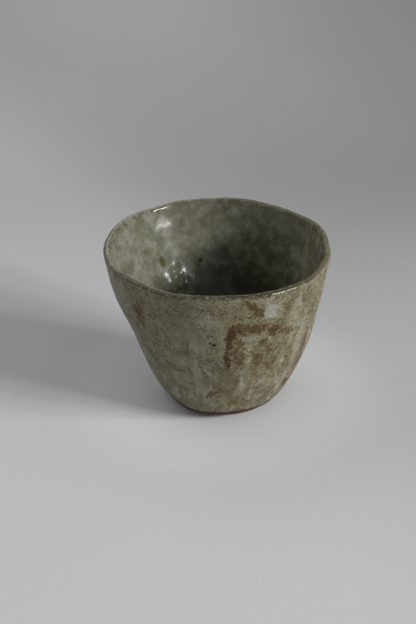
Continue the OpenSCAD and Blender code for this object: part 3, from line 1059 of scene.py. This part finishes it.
class CUP_OT_sand_grains(bpy.types.Operator):
    """Scatters grains of quartz and iron sand that stand out of the outer coat"""

    bl_idname = "cup.sand_grains"
    bl_label = "Sand Grains"
    bl_options = {"REGISTER", "UNDO"}

    def execute(self, context):
        settings = context.scene.cup_clay
        coat = bpy.data.objects.get("sandy_outer_glaze")
        if coat is None:
            raise RuntimeError("the outer coat comes before its sand grains")
        chance = random.Random(11)
        group = coat.vertex_groups["sandy"].index
        vertices = coat.data.vertices
        faces = [f for f in coat.data.polygons
                 if any(g.group == group and g.weight > 0.9 for g in vertices[f.vertices[0]].groups)]
        areas = [f.area for f in faces]
        for name, share, finish in (("quartz_grains", 0.6, QUARTZ), ("iron_grains", 0.4, IRON_SAND)):
            chosen = chance.choices(faces, areas, k=int(settings.grain_count * share))
            self.scatter(name, chosen, settings.grain_size, chance,
                         grain_material(name.replace("_", " ").title(), *finish))
        return {"FINISHED"}

    def scatter(self, name, faces, size, chance, material):
        """Sinks one squat grain into each face, and joins them all."""
        work_on(bpy.data.objects["sandy_outer_glaze"])
        bpy.ops.object.select_all(action="DESELECT")
        bpy.ops.mesh.primitive_ico_sphere_add(subdivisions=2, radius=1.0, location=(0, 0, 0))
        grain = bpy.context.object
        bpy.ops.object.mode_set(mode="EDIT")
        bpy.ops.mesh.select_all(action="SELECT")
        bpy.ops.transform.resize(value=(1.0, 0.85, 0.6))
        bpy.ops.mesh.bisect(plane_co=(0, 0, -0.25), plane_no=(0, 0, 1), use_fill=True, clear_inner=True)
        bpy.ops.object.mode_set(mode="OBJECT")
        copies = []
        for face in faces:
            mesh = grain.data.copy()
            radius = size * (0.45 + 0.55 * chance.random() ** 2)
            seat = Matrix.Translation(face.center - face.normal * radius * 0.12)
            upwards = face.normal.to_track_quat("Z", "Y").to_matrix().to_4x4()
            spin = Matrix.Rotation(chance.random() * 2 * math.pi, 4, "Z")
            mesh.transform(seat @ upwards @ spin @ Matrix.Scale(radius, 4))
            copy = bpy.data.objects.new(name, mesh)
            bpy.context.scene.collection.objects.link(copy)
            copies.append(copy)
        bpy.data.objects.remove(grain)
        work_on(copies[0])
        for copy in copies:
            copy.select_set(True)
        bpy.ops.object.join()
        joined = bpy.context.object
        joined.name = name
        joined.data.name = name
        finish_piece(joined, material, "outer_glaze")


class CUP_OT_stage(bpy.types.Operator):
    """Sets the table and backdrop, the window light and the camera"""

    bl_idname = "cup.stage"
    bl_label = "Stage"
    bl_options = {"REGISTER", "UNDO"}

    def execute(self, context):
        settings = context.scene.cup_stage
        self.lay_table(settings)
        self.light(context.scene, settings)
        self.place_camera(context.scene)
        return {"FINISHED"}

    def lay_table(self, settings):
        """One sheet that lies under the cup and sweeps up far behind it."""
        bpy.ops.object.select_all(action="DESELECT")
        bpy.ops.mesh.primitive_plane_add(size=TABLE_SIZE, location=(0, 0, 0))
        table = bpy.context.object
        table.name = "table"

        def at_back(edge, highest=math.inf):
            """Whether an edge runs along the back of the table, no higher than that."""
            ends = [table.data.vertices[v].co for v in edge.vertices]
            return all(end.y > TABLE_SIZE / 2 - 0.1 and end.z < highest for end in ends)

        select_parts(table, "EDGE", at_back)
        bpy.ops.mesh.extrude_region_move(TRANSFORM_OT_translate={"value": (0, 0.02, BACKDROP_HEIGHT)})
        select_parts(table, "EDGE", lambda edge: at_back(edge, 0.1))
        bpy.ops.mesh.bevel(offset=SWEEP, segments=16, affect="EDGES")
        bpy.ops.object.mode_set(mode="OBJECT")
        work_on(table)
        bpy.ops.object.shade_smooth()
        bpy.ops.object.select_all(action="DESELECT")
        table.data.materials.append(table_material(settings))

    def light(self, scene, settings):
        """Even light from all round, and a wide low window of three panes on the right."""
        world = bpy.data.worlds.new("Soft Sky")
        world.use_nodes = True
        background = world.node_tree.nodes["Background"]
        background.inputs["Color"].default_value = (0.98, 0.985, 1.0, 1)
        background.inputs["Strength"].default_value = settings.sky
        scene.world = world
        wide, tall, gap, away = 0.25, 0.38, 0.076, 2.4
        turn, up = settings.window_turn, settings.window_height
        aim = Vector((math.cos(up) * math.cos(turn), math.cos(up) * math.sin(turn), math.sin(up)))
        centre = aim * away + Vector((0, 0, 0.02))
        across = Vector((-math.sin(turn), math.cos(turn), 0))
        for column in (-1, 0, 1):
            self.hang_lamp("Window Pane", (wide, tall), settings.window, (1.0, 0.995, 0.98),
                           centre + across * column * (wide + gap), aim)
        above = Vector((-0.60, 0.55, 1.05))
        self.hang_lamp("Ceiling", (1.3, 0.9), settings.ceiling, (1, 1, 1), above, above)

    def hang_lamp(self, name, size, brightness, colour, place, aim):
        """An oblong lamp of a given brightness, in watts per square metre, that shines against aim."""
        lamp = bpy.data.lights.new(name, "AREA")
        lamp.shape = "RECTANGLE"
        lamp.size, lamp.size_y = size
        lamp.energy = brightness * size[0] * size[1] * math.pi
        lamp.color = colour
        holder = bpy.data.objects.new(name, lamp)
        bpy.context.scene.collection.objects.link(holder)
        holder.location = place
        holder.rotation_euler = aim.to_track_quat("Z", "Y").to_euler()

    def place_camera(self, scene):
        """A 50 mm lens on a small sensor, 0.45 m from the cup and 29 degrees above the table."""
        camera = bpy.data.cameras.new("Camera")
        camera.sensor_fit = "VERTICAL"
        camera.sensor_height = 22.3
        camera.lens = 50.07
        camera.clip_start = 0.01
        camera.clip_end = 20
        eye = bpy.data.objects.new("Camera", camera)
        scene.collection.objects.link(eye)
        eye.location = (-0.00509, -0.39094, 0.24703)
        eye.rotation_euler = (math.radians(60.81), 0, 0)
        scene.camera = eye
        scene.view_settings.view_transform = "Standard"


class CUP_PT_panel(bpy.types.Panel):
    """Lists the cup's settings and the steps that dress it"""

    bl_idname = "CUP_PT_panel"
    bl_label = "Sake Cup"
    bl_space_type = "VIEW_3D"
    bl_region_type = "UI"
    bl_category = "Sake Cup"

    def draw(self, context):
        scene = context.scene
        for title, owner, steps in (
                ("Clay", scene.cup_clay, ("cup.bare_clay",)),
                ("Glaze", scene.cup_glaze, ("cup.outer_coat", "cup.inner_coat", "cup.sand_grains")),
                ("Stage", scene.cup_stage, ("cup.stage",))):
            box = self.layout.box()
            box.label(text=title)
            for name in owner.bl_rna.properties.keys():
                if name not in ("rna_type", "name"):
                    box.prop(owner, name)
            for step in steps:
                box.operator(step)


CLASSES = (
    GlazeSettings,
    ClaySettings,
    StageSettings,
    CUP_OT_bare_clay,
    CUP_OT_outer_coat,
    CUP_OT_inner_coat,
    CUP_OT_sand_grains,
    CUP_OT_stage,
    CUP_PT_panel,
)


def register():
    for cls in CLASSES:
        bpy.utils.register_class(cls)
    bpy.types.Scene.cup_glaze = bpy.props.PointerProperty(type=GlazeSettings)
    bpy.types.Scene.cup_clay = bpy.props.PointerProperty(type=ClaySettings)
    bpy.types.Scene.cup_stage = bpy.props.PointerProperty(type=StageSettings)


def unregister():
    del bpy.types.Scene.cup_stage
    del bpy.types.Scene.cup_clay
    del bpy.types.Scene.cup_glaze
    for cls in reversed(CLASSES):
        bpy.utils.unregister_class(cls)


def main():
    register()
    bpy.ops.cup.bare_clay()
    bpy.ops.cup.outer_coat()
    bpy.ops.cup.inner_coat()
    bpy.ops.cup.sand_grains()
    bpy.ops.cup.stage()


if __name__ == "__main__":
    main()
